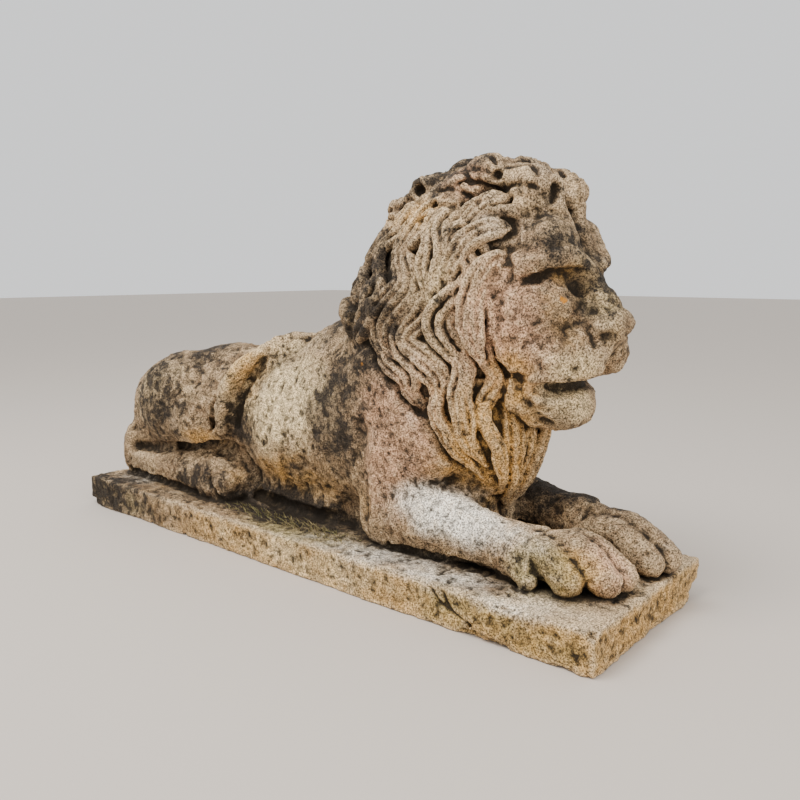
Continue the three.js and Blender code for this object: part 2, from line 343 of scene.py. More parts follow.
# %% Tail
rope = [laid("right", x, z, -1) for x, z in ((-206, 190), (-196, 232), (-182, 272), (-160, 308))]
rope += route(-1, (-132, 58, 339), (-104, 30, 347), (-70, 18, 352))
ridge(rope, [10, 12, 12, 12, 12, 13, 12], 0.005)
groove("right", [(-176, 200), (-166, 245), (-150, 288), (-126, 322)], 7, 5, 0.006)
TUFT = ((-128, 0), (-96, 0.6), (-58, 0.9), (-34, 1))  # x, and the share of the way towards the mid-plane
for shift in (-14, -5, 4, 13):
    path = [laid("above", x, -34 + share * 30 + shift, 1) for x, share in TUFT]
    ridge(path, [5, 7, 6, 3], 0.004)
print("tail and tuft")

# %% [markdown]
# ## The face
# The face is worn nearly smooth: heavy brows over shadowed sockets, a broad bridge, a nose pad with
# drilled nostrils, full lips and a mouth slightly open over a strong chin. Every form is a swelling or a
# cut given at its place on the lion's right and repeated on the left, so the face stays true from both
# sides and from the front.

# %% Brows and eyes
for side in SIDES:
    swelling(metres(side, 420, 42, 510), (26, 36, 36), 0.02)
    ridge(route(side, (400, 84, 474), (420, 79, 482), (438, 64, 488), (452, 42, 488), (459, 24, 483)),
          [4, 6, 8, 9, 6], 0.022)
    ridge(route(side, (410, 88, 464), (430, 78, 466), (446, 63, 469), (459, 42, 471)),
          [5, 10, 12, 10], 0.005, cut=True)
    swelling(metres(side, 429, 58, 457), (13, 19, 10), 0.009)
    ridge(route(side, (468, 42, 460), (480, 45, 432), (488, 46, 412)), [4, 5, 4], 0.014, cut=True)
print("brows and eyes")

# %% Nose and lips
swelling(metres(1, 500, 0, 409), (16, 32, 17), 0.006)
for side in SIDES:
    swelling(metres(side, 489, 32, 399), (15, 10, 15), 0.010)
    ridge(route(side, (497, 42, 392), (506, 33, 391), (514, 20, 387)), [6, 9, 8], 0.003, cut=True)
    ridge(route(side, (480, 48, 402), (486, 47, 390), (490, 46, 382)), [2, 3, 2], 0.008, cut=True)
    ridge(route(side, (502, 34, 383), (509, 22, 379), (514, 0, 381)), [4, 6, 6], 0.004, cut=True)
ridge(route(1, (520, 0, 380), (514, 0, 352)), [5, 6], 0.004, cut=True)
print("nose and lips")

# %% Mouth and jaw
swelling(metres(1, 404, 0, 326), (38, 60, 24), 0.008)
for side in SIDES:
    ridge(route(side, (424, 80, 334), (442, 70, 342), (464, 52, 346), (486, 28, 348)),
          [8, 9, 9, 7], 0.010)
    ridge(route(side, (420, 72, 306), (435, 56, 304), (444, 32, 303), (447, 0, 303)),
          [7, 7, 7, 7], 0.010)
    swelling(metres(side, 430, 18, 286), (28, 30, 26), 0.012)
    ridge(route(side, (424, 84, 323), (438, 67, 322), (448, 46, 322), (453, 28, 322)),
          [8, 14, 15, 12], 0.003, cut=True)
    groove(FLANKS[side], [(396, 334), (404, 312), (414, 288), (424, 270)], 9, 2.5, 0.008)
print("mouth and jaw")

# %% Forehead
ridge(route(1, (414, 0, 578), (428, 0, 548), (442, 0, 518)), [8, 7, 5], 0.01, cut=True)
print("forehead")

# %% [markdown]
# ## The mane
# The mane hangs in long wavy locks, each of a few strands, with dark hollows drilled between them. A lock
# is a flat core with a thin tube on it for each strand, all swept along a wavy line on the mane. Hundreds
# of strokes would be slow, so all tubes are turned into cells together and joined to the stone at once.
# Around them the stone is first cut back, which leaves the hollows.

# %% Where a lock lies
MANE_FOOT, MANE_TOP = 0.118, 0.626
MANE_MIDDLE = np.array([330, 318, 290, 256, 232, 236, 258, 272, 282]) / 1000
MANE_DEPTH = np.array([20, 58, 92, 134, 178, 176, 156, 130, 76]) / 1000
MANE_WIDTH = 0.124 * np.array([0.36, 0.62, 0.84, 0.94, 1, 0.99, 0.93, 0.82, 0.56])
MANE_ROUNDING = 0.3
LOCKS_ROUND = 20
CORE_WIDTH, CORE_HEIGHT = 0.92, 0.3  # shares of a lock's width and height
STRAND_WIDTH = 0.88  # share of the room that a strand has
THINNEST_STRAND = 0.0016
CORE_SIDES, STRAND_SIDES = 16, 10


def mane_sizes(z):
    """The mane's middle, half depth and half width at heights z, and the share of its height there."""
    share = np.clip((z - MANE_FOOT) / (MANE_TOP - MANE_FOOT), 0.004, 0.996)
    levels = np.linspace(0, 1, len(MANE_MIDDLE))
    from_end = np.minimum(np.minimum(share, 1 - share) / MANE_ROUNDING, 1)
    swell = np.sqrt(1 - (1 - from_end) ** 2)
    tables = MANE_MIDDLE, MANE_DEPTH, MANE_WIDTH
    middle, depth, width = (np.interp(share, levels, table) for table in tables)
    return middle, depth * swell, width * swell, share


def on_mane(side, degrees, z, out):
    """Points on the mane, by angle from its front and height, and the way out of the stone there."""
    middle, depth, width, _ = mane_sizes(z)
    angle = np.radians(degrees)
    way = np.stack([np.cos(angle), side * np.sin(angle), np.zeros_like(z)], -1)
    x = middle + (depth + out) * np.cos(angle)
    y = side * (width + out) * np.sin(angle)
    return np.stack([x, y, z], -1), way


def tube(path, across, outward, widths, heights, sides):
    """A closed tube along the path with an oval section. Returns points and faces."""
    rings = len(path)
    turn = np.linspace(0, 2 * np.pi, sides, endpoint=False)
    points = (path[:, None, :] + across[:, None, :] * (np.cos(turn)[None, :] * widths[:, None])[..., None]
              + outward[:, None, :] * (np.sin(turn)[None, :] * heights[:, None])[..., None])
    ring, step = np.meshgrid(np.arange(rings - 1), np.arange(sides), indexing="ij")
    a = (ring * sides + step).ravel()
    b = (ring * sides + (step + 1) % sides).ravel()
    faces = np.concatenate([np.stack([a, b, b + sides], 1), np.stack([a, b + sides, a + sides], 1)])
    tip = rings * sides
    around = np.arange(sides)
    first = np.stack([np.full(sides, tip), (around + 1) % sides, around], 1)
    last = np.stack([np.full(sides, tip + 1), around, (around + 1) % sides], 1)
    last[:, 1:] += (rings - 1) * sides
    points = np.concatenate([points.reshape(-1, 3), path[:1], path[-1:]])
    return points, np.concatenate([faces, first, last])


def lock(path, way, widths, height, strands):
    """A flat core and the strands on it, which draw together at the lock's ends and wander a little."""
    tangent = np.gradient(path, axis=0)
    tangent /= np.linalg.norm(tangent, axis=1, keepdims=True)
    across = np.cross(tangent, way)
    across /= np.linalg.norm(across, axis=1, keepdims=True)
    outward = np.cross(across, tangent)
    share = np.linspace(0, 1, len(path))
    core_height = np.full(len(path), height * CORE_HEIGHT)
    tubes = [tube(path, across, outward, widths * CORE_WIDTH, core_height, CORE_SIDES)]
    for k in range(strands):
        place = (2 * k + 1) / strands - 1
        wander = 0.3 / strands * np.sin(2 * np.pi * (1.3 * share + dice.random()))
        crown = height * (0.5 - 0.35 * place ** 2 + dice.uniform(-0.12, 0.12))
        middle = path + across * (widths * (place * CORE_WIDTH + wander))[:, None] + outward * crown
        thick = np.maximum(widths / strands * STRAND_WIDTH, THINNEST_STRAND)
        tubes.append(tube(middle, across, outward, thick, thick * 0.85 + height * CORE_HEIGHT, STRAND_SIDES))
    return tubes


dice = np.random.default_rng(11)
print("mane from", MANE_FOOT, "to", MANE_TOP)

# %% Falling locks
ROWS = 28  # points along a lock
LOCK_HEIGHT = 0.013
EDGE_ANGLES = [0, 27, 45, 63, 81, 99, 117, 135, 153, 180]
ROOT_HEIGHTS = [0.29, 0.32, 0.47, 0.51, 0.55, 0.58, 0.59, 0.59, 0.59, 0.59]
TIP_HEIGHTS = [0.13, 0.135, 0.165, 0.185, 0.205, 0.285, 0.37, 0.415, 0.43, 0.43]


def falling_lock(side, angle, top, bottom, width, out, strands):
    share = np.linspace(0, 1, ROWS)
    z = top + (bottom - top) * share
    height = mane_sizes(z)[3]
    swing = np.sin(2 * np.pi * (3.6 * height + angle / 240))
    own = np.sin(2 * np.pi * (1.6 * share + dice.random()))
    front = rise(angle, 10, 60)
    degrees = angle + front * (5.5 * swing + 3.2 * own * np.sin(np.pi * share))
    lift = out + 0.006 * np.sin(np.pi * share) - 0.008 - 0.008 * rise(share, 0.75, 1.0)
    path, way = on_mane(side, degrees, z, lift)
    taper = np.sqrt(np.clip(np.minimum(share / 0.12, (1 - share) / 0.4), 0.02, 1))
    return lock(path, way, width * taper, LOCK_HEIGHT, strands)


def column_of_locks(side, number):
    """The locks of one column, from the top down, each tip lying over the next lock's root."""
    angle = (number + 0.5) * 360 / LOCKS_ROUND
    top, bottom = (float(np.interp(angle, EDGE_ANGLES, heights)) for heights in (ROOT_HEIGHTS, TIP_HEIGHTS))
    bottom += dice.uniform(-0.02, 0.02)
    locks = []
    while top > bottom + 0.03:
        length = min(dice.uniform(0.10, 0.18), top - bottom)
        _, depth, half_width, _ = mane_sizes(np.array([top - length / 2]))
        turn = math.radians(angle)
        reach = float(np.hypot(depth * math.sin(turn), half_width * math.cos(turn))[0])
        width = math.radians(180 / LOCKS_ROUND) * reach * dice.uniform(0.95, 1.2)
        out = dice.uniform(-0.002, 0.006) - 0.003 * (angle < 40)
        locks += falling_lock(side, angle, top + 0.02, top - length, width, out, dice.integers(3, 5))
        top -= length - 0.01
    return locks


hair_tubes = []
for side in SIDES:
    for number in range(LOCKS_ROUND // 2):
        hair_tubes += column_of_locks(side, number)
print("tubes in falling locks", len(hair_tubes))

# %% Swept locks over the crown and temples
HEAD_MIDDLE = np.array([0.285, 0, 0.47])


def swept_lock(side, points, width, height, strands):
    path = smooth_path(route(side, *points), ROWS)
    share = np.linspace(0, 1, ROWS)
    way = path - HEAD_MIDDLE
    way /= np.linalg.norm(way, axis=1, keepdims=True)
    taper = np.minimum(rise(share, -0.1, 0.35), np.sqrt(np.clip((1 - share) / 0.3, 0.02, 1)))
    path -= way * (0.016 * (1 - taper))[:, None]
    return lock(path, way, width / 1000 * taper, height / 1000, strands)


CROWN_LOCKS = [  # places along each lock, then its half width, height and number of strands
    ([(372, 62, 574), (354, 68, 569), (330, 77, 562), (312, 84, 546), (300, 94, 518)], 16, 10, 3),
    ([(384, 80, 534), (368, 86, 531), (345, 98, 524), (325, 107, 507), (304, 113, 474), (296, 117, 436)],
     18, 11, 3),
    ([(384, 88, 500), (366, 97, 490), (350, 105, 466), (342, 113, 428), (350, 118, 385), (362, 112, 350)],
     21, 11, 4),
    ([(330, 88, 540), (306, 98, 528), (286, 106, 496), (276, 114, 450)], 14, 10, 3),
    ([(200, 98, 510), (206, 90, 545), (228, 84, 565), (256, 82, 557)], 14, 10, 3),
    ([(300, 70, 578), (262, 76, 575), (226, 78, 558), (186, 84, 522)], 15, 11, 4),
    ([(286, 30, 612), (232, 44, 602), (176, 58, 567), (140, 66, 522)], 18, 12, 4),
    ([(310, 6, 622), (240, 10, 612), (168, 14, 574), (128, 20, 530)], 18, 10, 4),
]
hair_tubes += [one for side in SIDES for plan in CROWN_LOCKS for one in swept_lock(side, *plan)]
print("tubes in all", len(hair_tubes))

# %% Joining the mane to the stone
CUT_BACK = 0.006
CORE_INSET = 0.0035
JOINT = 0.0008  # the length over which the locks melt into the stone

starts = np.cumsum([0] + [len(points) for points, _ in hair_tubes[:-1]])
hair_points = np.concatenate([points for points, _ in hair_tubes])
hair_points[:, 1] += LION_SHIFT
hair_faces = np.concatenate([faces + start for (_, faces), start in zip(hair_tubes, starts)])
hair = field_of(hair_points, hair_faces)

face_front = rise(X, 0.385, 0.405) * rise(Z, 0.25, 0.28)
for side in SIDES:
    ridge(route(side, (105, 84, 415), (150, 92, 355), (195, 98, 300), (232, 96, 250), (268, 86, 205)),
          [26, 26, 26, 26, 24], 0.02)
cut_back = (1 - rise(hair, 0.004, 0.016)) * (1 - face_front)
stone = stone + CUT_BACK * cut_back
middle, depth, width, _ = (v[None, None, :].astype(np.float32) for v in mane_sizes(axis_z))
depth, width = (np.maximum(size - CORE_INSET, 0.004) for size in (depth, width))
core = (np.sqrt(((X - middle) / depth) ** 2 + (Y / width) ** 2) - 1) * np.minimum(depth, width)
beside_face = rise(np.degrees(np.arctan2(np.abs(Y), X - middle)), 42, 50)
in_core = (beside_face + (Z < 0.33) > 0.5) & (Z > 0.15) & (Z < 0.58)
stone = np.minimum(stone, np.where(in_core, core, 1))
stone = melted(stone, hair, JOINT)
print("mane joined")

# %% Cheek into hair
for side in SIDES:
    ridge(route(side, (380, 82, 478), (382, 86, 440), (384, 86, 400), (388, 80, 358)),
          [8, 10, 10, 8], 0.012)
    ridge(route(side, (366, 90, 468), (365, 94, 430), (369, 94, 395), (377, 90, 362)),
          [6, 8, 8, 6], 0.010)
print("cheeks joined")

# %% Worn curls over the crown
KNOBS = [  # place and half sizes of the big worn curls, on each side of the crown
    ((290, 54, 586), (34, 30, 30)), ((318, 38, 612), (34, 30, 24)), ((384, 40, 588), (32, 30, 28)),
    ((352, 12, 612), (30, 24, 18)), ((268, 20, 616), (28, 26, 18)), ((226, 44, 592), (22, 20, 20)),
    ((206, 12, 604), (28, 24, 16)), ((172, 50, 566), (24, 20, 20)), ((150, 16, 566), (26, 22, 18)),
]
KNOB_STEPS = (-0.8, -0.3, 0.2, 0.7)  # places along a groove, in half lengths of its curl
OUTER_KNOB = 35  # mm from the mid-plane; these show from the side too

for side in SIDES:
    for middle, half in KNOBS:
        swelling(metres(side, *middle), 1.02 * np.array(half), 0.006)
    for (x, y, z), (half_x, half_y, half_z) in KNOBS:
        lean = dice.uniform(-0.3, 0.3)
        for k in (-0.35, 0.4):
            bend = [(a, k + lean * a - 0.4 * a * a) for a in KNOB_STEPS]
            over = [(x + half_x * a, side * y + half_y * b) for a, b in bend]
            groove("above", over, 4, 2.5, 0.004)
            beside = [(x + half_x * a, z + half_z * (b - 0.4)) for a, b in bend]
            if y > OUTER_KNOB:
                groove(FLANKS[side], beside, 4, 2.5, 0.004)
print("knobs", 2 * len(KNOBS))

# %% Curls and drilled holes
def round_curl(side, x, z, radius, thick):
    """A curl seen end on: a ring of hair round a drilled hollow."""
    turn = np.linspace(0, 2 * math.pi, 9)
    middle = laid(FLANKS[side], x, z)
    ring = [middle + np.array((math.cos(a) * radius, 0, math.sin(a) * radius)) / 1000 for a in turn]
    ridge(ring, thick, 0.004)
    hole = radius - thick * 0.4
    swelling(middle + np.array((0, side * 0.004, 0)), (hole, 9, hole), 0.003, cut=True)


def forelock(side):
    """A lock over the forehead that turns up into a loop, with its tail running down towards the bridge."""
    middle = metres(side, 417, 35, 578)
    out = np.array((0.72, side * 0.69, 0.0))
    along = np.array((0.69, -side * 0.72, 0.0))
    swelling(middle - 0.012 * out, (18, 18, 22), 0.008)
    arch = [(-10, -20), (-10, 0), (-6, 13), (0, 17), (6, 13), (10, 0), (10, -22)]
    loop = [middle + along * a / 1000 + np.array((0, 0, b / 1000)) for a, b in arch]
    ridge(loop, [3, 6, 6, 6, 6, 6, 3], 0.003)
    ridge([middle + 0.004 * out + np.array((0, 0, b)) for b in (0.006, -0.014)], [6, 6], 0.003, cut=True)
    ridge(route(side, (420, 28, 560), (429, 20, 540), (438, 14, 516)), [8, 7, 4], 0.01)


for side in SIDES:
    round_curl(side, 219, 590, 13, 7)
    groove(FLANKS[side], [(374, 476), (367, 461), (370, 445)], 5, 3)
    for x, z, size in ((346, 602, 8), (330, 568, 7), (262, 566, 6), (250, 545, 6)):
        swelling(laid(FLANKS[side], x, z), (size, 9, size), 0.003, cut=True)
    ridge(route(side, (384, 62, 562), (400, 48, 564), (412, 34, 562)), [9, 10, 8], 0.012)
    forelock(side)
swelling(metres(1, 410, 36, 582), (19, 19, 20), 0.005)
swelling(metres(1, 414, 62, 531), (16, 16, 15), 0.006)
print("curls and holes")

# %% [markdown]
# ## The slab
# The slab was hewn, not sawn: its sides are uneven, its edges are chipped, and a crack runs down the right
# side near the front. The chips come from seeded dice, and the cracks and holes are cut where they are.

# %% Chips, cracks and holes
CHIPS = 80
half_length, half_width = 567, 167.5

for _ in range(CHIPS):
    along_side = dice.random() < 0.75
    share, end, top = dice.uniform(-1, 1), dice.choice((-1, 1)), dice.random() < 0.93
    x = share * half_length if along_side else end * half_length
    y = end * half_width if along_side else share * half_width
    size = dice.uniform(2, 5) * (2 if dice.random() < 0.1 else 1)
    centre = np.array((x, y - 1000 * LION_SHIFT, 58 if top else 0), np.float32) / 1000
    half = (size * 2.2, size * 0.7, size * 0.8) if along_side else (size * 0.7, size * 2.2, size * 0.8)
    swelling(centre, half, 0.003, cut=True)
groove("right", [(326, 52), (340, 34), (366, 27), (388, 20), (394, 5)], 3, 3, 0.002)
groove("right", [(345, 50), (352, 34)], 2.5, 2.5, 0.002)
groove("right", [(430, 54), (452, 53), (468, 55)], 3, 3, 0.002)
for x, y, size in ((-555, -112, 5), (-204, -158, 6), (24, -123, 5), (82, -126, 5), (-320, 120, 5)):
    swelling(laid("above", x, y - 8), (size, size * 0.8, size), 0.002, cut=True)
print("slab worn")

# %% [markdown]
# ## Weather
# Rain rounds every edge a little and eats small pits. Rounding is one more short average, and pits come
# from noise made of random cells averaged over a few millimetres, so that it has the same grain on every
# side of the stone.

# %% Rain and pits
def speckle(reach, seed):
    """Random bumps of a given size, spread evenly round zero."""
    bumps = np.random.default_rng(seed).standard_normal(stone.shape, np.float32)
    bumps = blurred(bumps, reach)
    return bumps / bumps.std()


on_slab = 1 - rise(Z, slab_top - 0.004, slab_top + 0.006)
stone = blurred(stone, 0.0007)
skin = 1 - rise(np.abs(stone), 0.006, 0.012)
stone += 0.0005 * skin * speckle(0.0024, 1)
stone += (0.0004 + 0.0002 * on_slab) * skin * speckle(0.007, 2)
stone += 0.0006 * on_slab * skin * speckle(0.02, 3)
stone = np.maximum(stone, 0.0005 - Z)
print("weathered")

# %% [markdown]
# ## Taking out the surface
# The surface is where the distance is zero. It comes out as hundreds of thousands of small squares, many
# more than the flat slab needs, so a Decimate modifier joins those that lie in one plane and keeps the
# carved places fine. Closed hollows inside the stone and loose crumbs are shells of their own, and only
# the largest shell is kept.

# %% Surface
MOST_TRIANGLES = 192000

grid = openvdb.FloatGrid(BAND * CELL)
grid.copyFromArray(stone)
grid.transform = openvdb.createLinearTransform(voxelSize=CELL)
points, _, squares = grid.convertToPolygons(isovalue=0.0, adaptivity=0.0)
points = points + corner.astype(np.float32)


def largest_shell(points, faces):
    """The points and faces of the largest connected shell of a mesh."""
    label = np.arange(len(points))
    start, end = faces.ravel(), np.roll(faces, -1, axis=1).ravel()
    while (label[start] != label[end]).any():
        ends = label[start], label[end]
        np.minimum.at(label, np.maximum(*ends), np.minimum(*ends))
        while (label[label] != label).any():
            label = label[label]
    kept = label == np.bincount(label).argmax()
    print("points in other shells", int((~kept).sum()))
    return points[kept], (np.cumsum(kept) - 1)[faces[kept[faces[:, 0]]]]


def stone_mesh(points, faces):
    mesh = bpy.data.meshes.new("stone_lion")
    mesh.from_pydata(points, [], faces)
    return mesh


points, squares = largest_shell(points, np.asarray(squares, np.int64)[:, ::-1])
lion = bpy.data.objects.new("stone_lion", stone_mesh(points, squares))
bpy.context.scene.collection.objects.link(lion)
thinner = lion.modifiers.new("fewer triangles", "DECIMATE")
thinner.ratio = MOST_TRIANGLES / (2 * len(squares))
bpy.context.view_layer.update()
thinned = bpy.data.meshes.new_from_object(lion.evaluated_get(bpy.context.evaluated_depsgraph_get()))
lion.modifiers.clear()
lion.data = thinned
lion.data = stone_mesh(*largest_shell(*mesh_arrays(lion)))
lion.data.name = "stone_lion"
lion.data.polygons.foreach_set("use_smooth", np.ones(len(lion.data.polygons), bool))
print("squares", len(squares), "triangles", sum(len(p.vertices) - 2 for p in lion.data.polygons))

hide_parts("lion_statue")
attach(lion, "root")

# %% [markdown]
# ## Where the stone is stained, and where shade and highlight are painted
# Colour on old stone follows shape and place. The hollows are darkened, partly with dirt and partly with
# painted shade, and the nostrils and the mouth get painted shade. Ridges are lightened, partly as washed
# clean stone and partly as painted highlight. Black crust grows on the back and the neck where the wet
# stays longest, and the same mask lays painted shade and dirt under the belly and on the slab beside it.
# The sheltered chest keeps a warm ochre. Each of these is a mask, a number from 0 to 1 stored on every
# point of the mesh. Hollows are measured: where the averaged distance is below zero, more stone than air
# is around the point. The stains are soft egg-shaped patches.

# %% Hollows and ridges
spots = np.empty(len(lion.data.vertices) * 3, np.float32)
lion.data.vertices.foreach_get("co", spots)
spots = spots.reshape(-1, 3)


def sampled(field):
    """The field at each point of the mesh, from the eight cells round it."""
    place = (spots - corner) / CELL
    low = np.clip(np.floor(place).astype(int), 0, counts - 2)
    share = place - low
    total = np.zeros(len(spots))
    for step in np.ndindex(2, 2, 2):
        weight = np.prod(np.where(step, share, 1 - share), axis=1)
        total += weight * field[tuple((low + step).T)]
    return total


def store(name, values):
    attribute = lion.data.attributes.new(name, "FLOAT", "POINT")
    attribute.data.foreach_set("value", np.clip(values, 0, 1).astype(np.float32))
    print(f"{name:8s} mean {np.clip(values, 0, 1).mean():.2f}")


fine = sampled(blurred(stone, 0.0042))
broad = sampled(blurred(stone, 0.014))
measured_hollow = np.maximum(-fine / 0.0008, -broad / 0.0070)
# Ridges: the material lightens them, partly as worn stone and partly as painted highlight.
store("crest", fine / 0.002)

# %% Stains
facing = np.empty(len(spots) * 3, np.float32)
lion.data.vertices.foreach_get("normal", facing)
upward = facing.reshape(-1, 3)[:, 2]


def patch(x, y, z, half_x, half_y, half_z):
    """A soft egg-shaped patch, given in millimetres: 1 in its middle, fading to 0 past its edge."""
    centre = np.array((x, y, z)) / 1000
    half = np.array((half_x, half_y, half_z)) / 1000
    return 1 - rise(np.linalg.norm((spots - centre) / half, axis=1), 0.1, 1.1)


def any_of(*patches):
    return np.max(patches, axis=0)


on_top = rise(upward, 0.2, 0.8)
on_side = 1 - rise(np.abs(upward), 0.4, 0.8)
on_slab_side = (1 - rise(spots[:, 2], 0.05, 0.062)) * on_side
# The hollow mask darkens the measured hollows, partly as dirt and partly as painted shade; the nostril and
# mouth patches add painted shade in those recesses.
nostrils = any_of(patch(505, 43, 391, 14, 17, 11), patch(505, -27, 391, 14, 17, 11))
mouth = patch(436, 8, 322, 26, 82, 15)
store("hollow", any_of(measured_hollow, 1.8 * nostrils, 1.8 * mouth))
store("pink", any_of(patch(215, -130, 240, 130, 90, 190), patch(385, -100, 400, 110, 90, 130),
                     patch(295, -60, 595, 60, 50, 50) * 0.7, patch(515, -60, 95, 80, 60, 60)))
store("ochre", any_of(patch(345, -50, 230, 120, 110, 160), patch(390, -90, 330, 60, 60, 90) * 0.8,
                      patch(235, -90, 550, 70, 50, 50) * 0.6, patch(-255, -110, 168, 80, 70, 40) * 0.7,
                      patch(-30, -110, 115, 230, 70, 70) * 0.9, patch(450, -45, 472, 40, 30, 20) * 0.9,
                      patch(-150, -100, 300, 70, 60, 80) * 0.6, patch(490, -85, 85, 80, 50, 60) * 0.7,
                      patch(420, -167, 30, 260, 40, 60) * 0.5, patch(565, 0, 30, 40, 190, 60) * 0.4))
store("cream", any_of(patch(-60, -110, 275, 190, 110, 150), patch(-410, -110, 240, 150, 100, 110) * 0.6,
                      patch(435, -20, 300, 70, 80, 60) * 0.8, patch(-110, -60, 345, 200, 90, 60) * 0.5,
                      patch(470, -50, 350, 60, 60, 40) * 0.6, patch(100, -167, 30, 400, 30, 60) * 0.5,
                      patch(290, -120, 420, 70, 60, 150) * 0.35))
# Painted shade and dirt under the belly and on the slab top below it.
shade_and_dirt_under_belly = any_of(patch(-60, -95, 75, 290, 80, 55), patch(-250, 20, 60, 350, 130, 45) * 0.9)
washed = patch(330, -105, 140, 165, 85, 62)
# Mostly black crust; the under-belly patches and the slab-top patch beside the chest are painted shade and
# dirt.
crust_and_shade_amount = any_of(np.full(len(spots), 0.25), patch(-390, -20, 300, 290, 170, 200) * (0.58 + 0.16 * on_top),
                 patch(170, -100, 420, 160, 130, 250) * 0.62, patch(370, 90, 130, 190, 80, 110) * 0.80,
                 patch(-560, -170, 30, 420, 110, 90) * 0.68, patch(260, 0, 610, 230, 160, 130) * 0.60,
                 patch(480, 0, 470, 100, 100, 110) * 0.58, shade_and_dirt_under_belly * 0.95,
                 patch(425, -40, 525, 150, 150, 110) * 0.46, patch(-390, -120, 230, 200, 110, 170) * 0.60,
                 patch(130, 100, 430, 180, 130, 240) * 0.58,
                 patch(85, -110, 280, 130, 90, 230) * 0.64, patch(60, 0, 390, 150, 130, 80) * 0.66,
                 patch(20, -120, 120, 220, 70, 90) * 0.58, patch(-270, -130, 95, 160, 70, 70) * 0.64,
                 # The patch at (200, -60, 60) darkens the slab top beside the chest: painted shade and dirt.
                 patch(480, 60, 90, 120, 60, 80) * 0.58, patch(200, -60, 60, 280, 70, 20) * 0.62,
                 patch(-160, -100, 200, 90, 60, 140) * 0.60, patch(-150, 0, 360, 160, 90, 60) * 0.60,
                 patch(500, -60, 58, 160, 120, 14) * 0.5)
store("pale", any_of(washed, patch(250, -135, 58, 270, 70, 22) * 0.55,
                     patch(-475, -110, 58, 110, 70, 18) * 0.4, patch(440, -150, 58, 170, 70, 18) * 0.45))
store("crust_and_shade", crust_and_shade_amount * (1 - 0.45 * washed))
store("green", any_of(patch(470, -110, 90, 100, 70, 70), patch(420, -170, 25, 240, 50, 60) * 0.6,
                      patch(20, -130, 60, 200, 70, 18), patch(350, -165, 40, 60, 40, 40) * 0.8,
                      patch(480, 0, 450, 80, 90, 90) * 0.5, patch(-480, -170, 30, 200, 40, 60) * 0.6))
store("tan", on_slab_side * rise(spots[:, 0], -0.5, 0.0))
store("lichen", any_of(patch(455, -60, 439, 8, 14, 6), patch(150, -105, 339, 8, 14, 7)))

# %% [markdown]
# ## Tools for the materials
# Two effects serve both the stone and the moss: a patch with a broken edge and a field of specks. Each is
# a group of nodes with named sockets, built once. The rough bump is a group too, because it mixes two
# sizes of grain. A group only hands on numbers, and every material keeps its own shader.

# %% Node helpers
def add(tree, kind, inputs=(), **settings):
    node = tree.nodes.new(kind)
    for name, value in settings.items():
        setattr(node, name, value)
    for key, value in dict(inputs).items():
        if isinstance(value, bpy.types.NodeSocket):
            tree.links.new(value, node.inputs[key])
        else:
            node.inputs[key].default_value = value
    return node


def noise_of(tree, place, scale, detail=4.0, roughness=0.6):
    sockets = {"Vector": place, "Scale": scale, "Detail": detail, "Roughness": roughness}
    return add(tree, "ShaderNodeTexNoise", sockets).outputs["Fac"]


def stepped(tree, value, low, high):
    """0 below low, 1 above high, smooth between."""
    sockets = {"Value": value, "From Min": low, "From Max": high}
    return add(tree, "ShaderNodeMapRange", sockets, interpolation_type="SMOOTHSTEP").outputs["Result"]


def counted(tree, operation, a, b):
    return add(tree, "ShaderNodeMath", {0: a, 1: b}, operation=operation).outputs[0]


def blended(tree, share, a, b):
    return add(tree, "ShaderNodeMix", {0: share, 6: a, 7: b}, data_type="RGBA").outputs[2]


def new_group(name, inputs):
    tree = bpy.data.node_groups.new(name, "ShaderNodeTree")
    for label, kind in inputs.items():
        tree.interface.new_socket(label, in_out="INPUT", socket_type=kind)
    tree.interface.new_socket("Value", in_out="OUTPUT", socket_type="NodeSocketFloat")
    return tree, add(tree, "NodeGroupInput").outputs, add(tree, "NodeGroupOutput").inputs


def grouped(tree, group, **inputs):
    return add(tree, "ShaderNodeGroup", inputs, node_tree=group).outputs["Value"]


print("node helpers ready")

# %% Groups
NUMBER, VECTOR = "NodeSocketFloat", "NodeSocketVector"

patch_sockets = {"Place": VECTOR, "Mask": NUMBER, "Size": NUMBER, "Break": NUMBER, "Soft": NUMBER}
broken_patch, given, made = new_group("broken patch", patch_sockets)
wobble = counted(broken_patch, "SUBTRACT", noise_of(broken_patch, given["Place"], given["Size"], 8, 0.7), 0.5)
moved = counted(broken_patch, "MULTIPLY", wobble, given["Break"])
low = counted(broken_patch, "SUBTRACT", 0.5, given["Soft"])
high = counted(broken_patch, "ADD", 0.5, given["Soft"])
share = stepped(broken_patch, counted(broken_patch, "ADD", moved, given["Mask"]), low, high)
broken_patch.links.new(share, made["Value"])

specks, given, made = new_group("specks", {"Place": VECTOR, "Size": NUMBER, "From": NUMBER, "To": NUMBER})
dots = noise_of(specks, given["Place"], given["Size"], 3, 0.75)
specks.links.new(stepped(specks, dots, given["From"], given["To"]), made["Value"])

rough_bump, given, made = new_group("rough bump", {"Place": VECTOR, "Size": NUMBER})
coarse = noise_of(rough_bump, given["Place"], given["Size"], 5, 0.7)
finer = noise_of(rough_bump, given["Place"], counted(rough_bump, "MULTIPLY", given["Size"], 3.1), 2, 0.6)
fainter = counted(rough_bump, "MULTIPLY", finer, 0.5)
rough_bump.links.new(counted(rough_bump, "ADD", coarse, fainter), made["Value"])
print("groups", [g.name for g in (broken_patch, specks, rough_bump)])

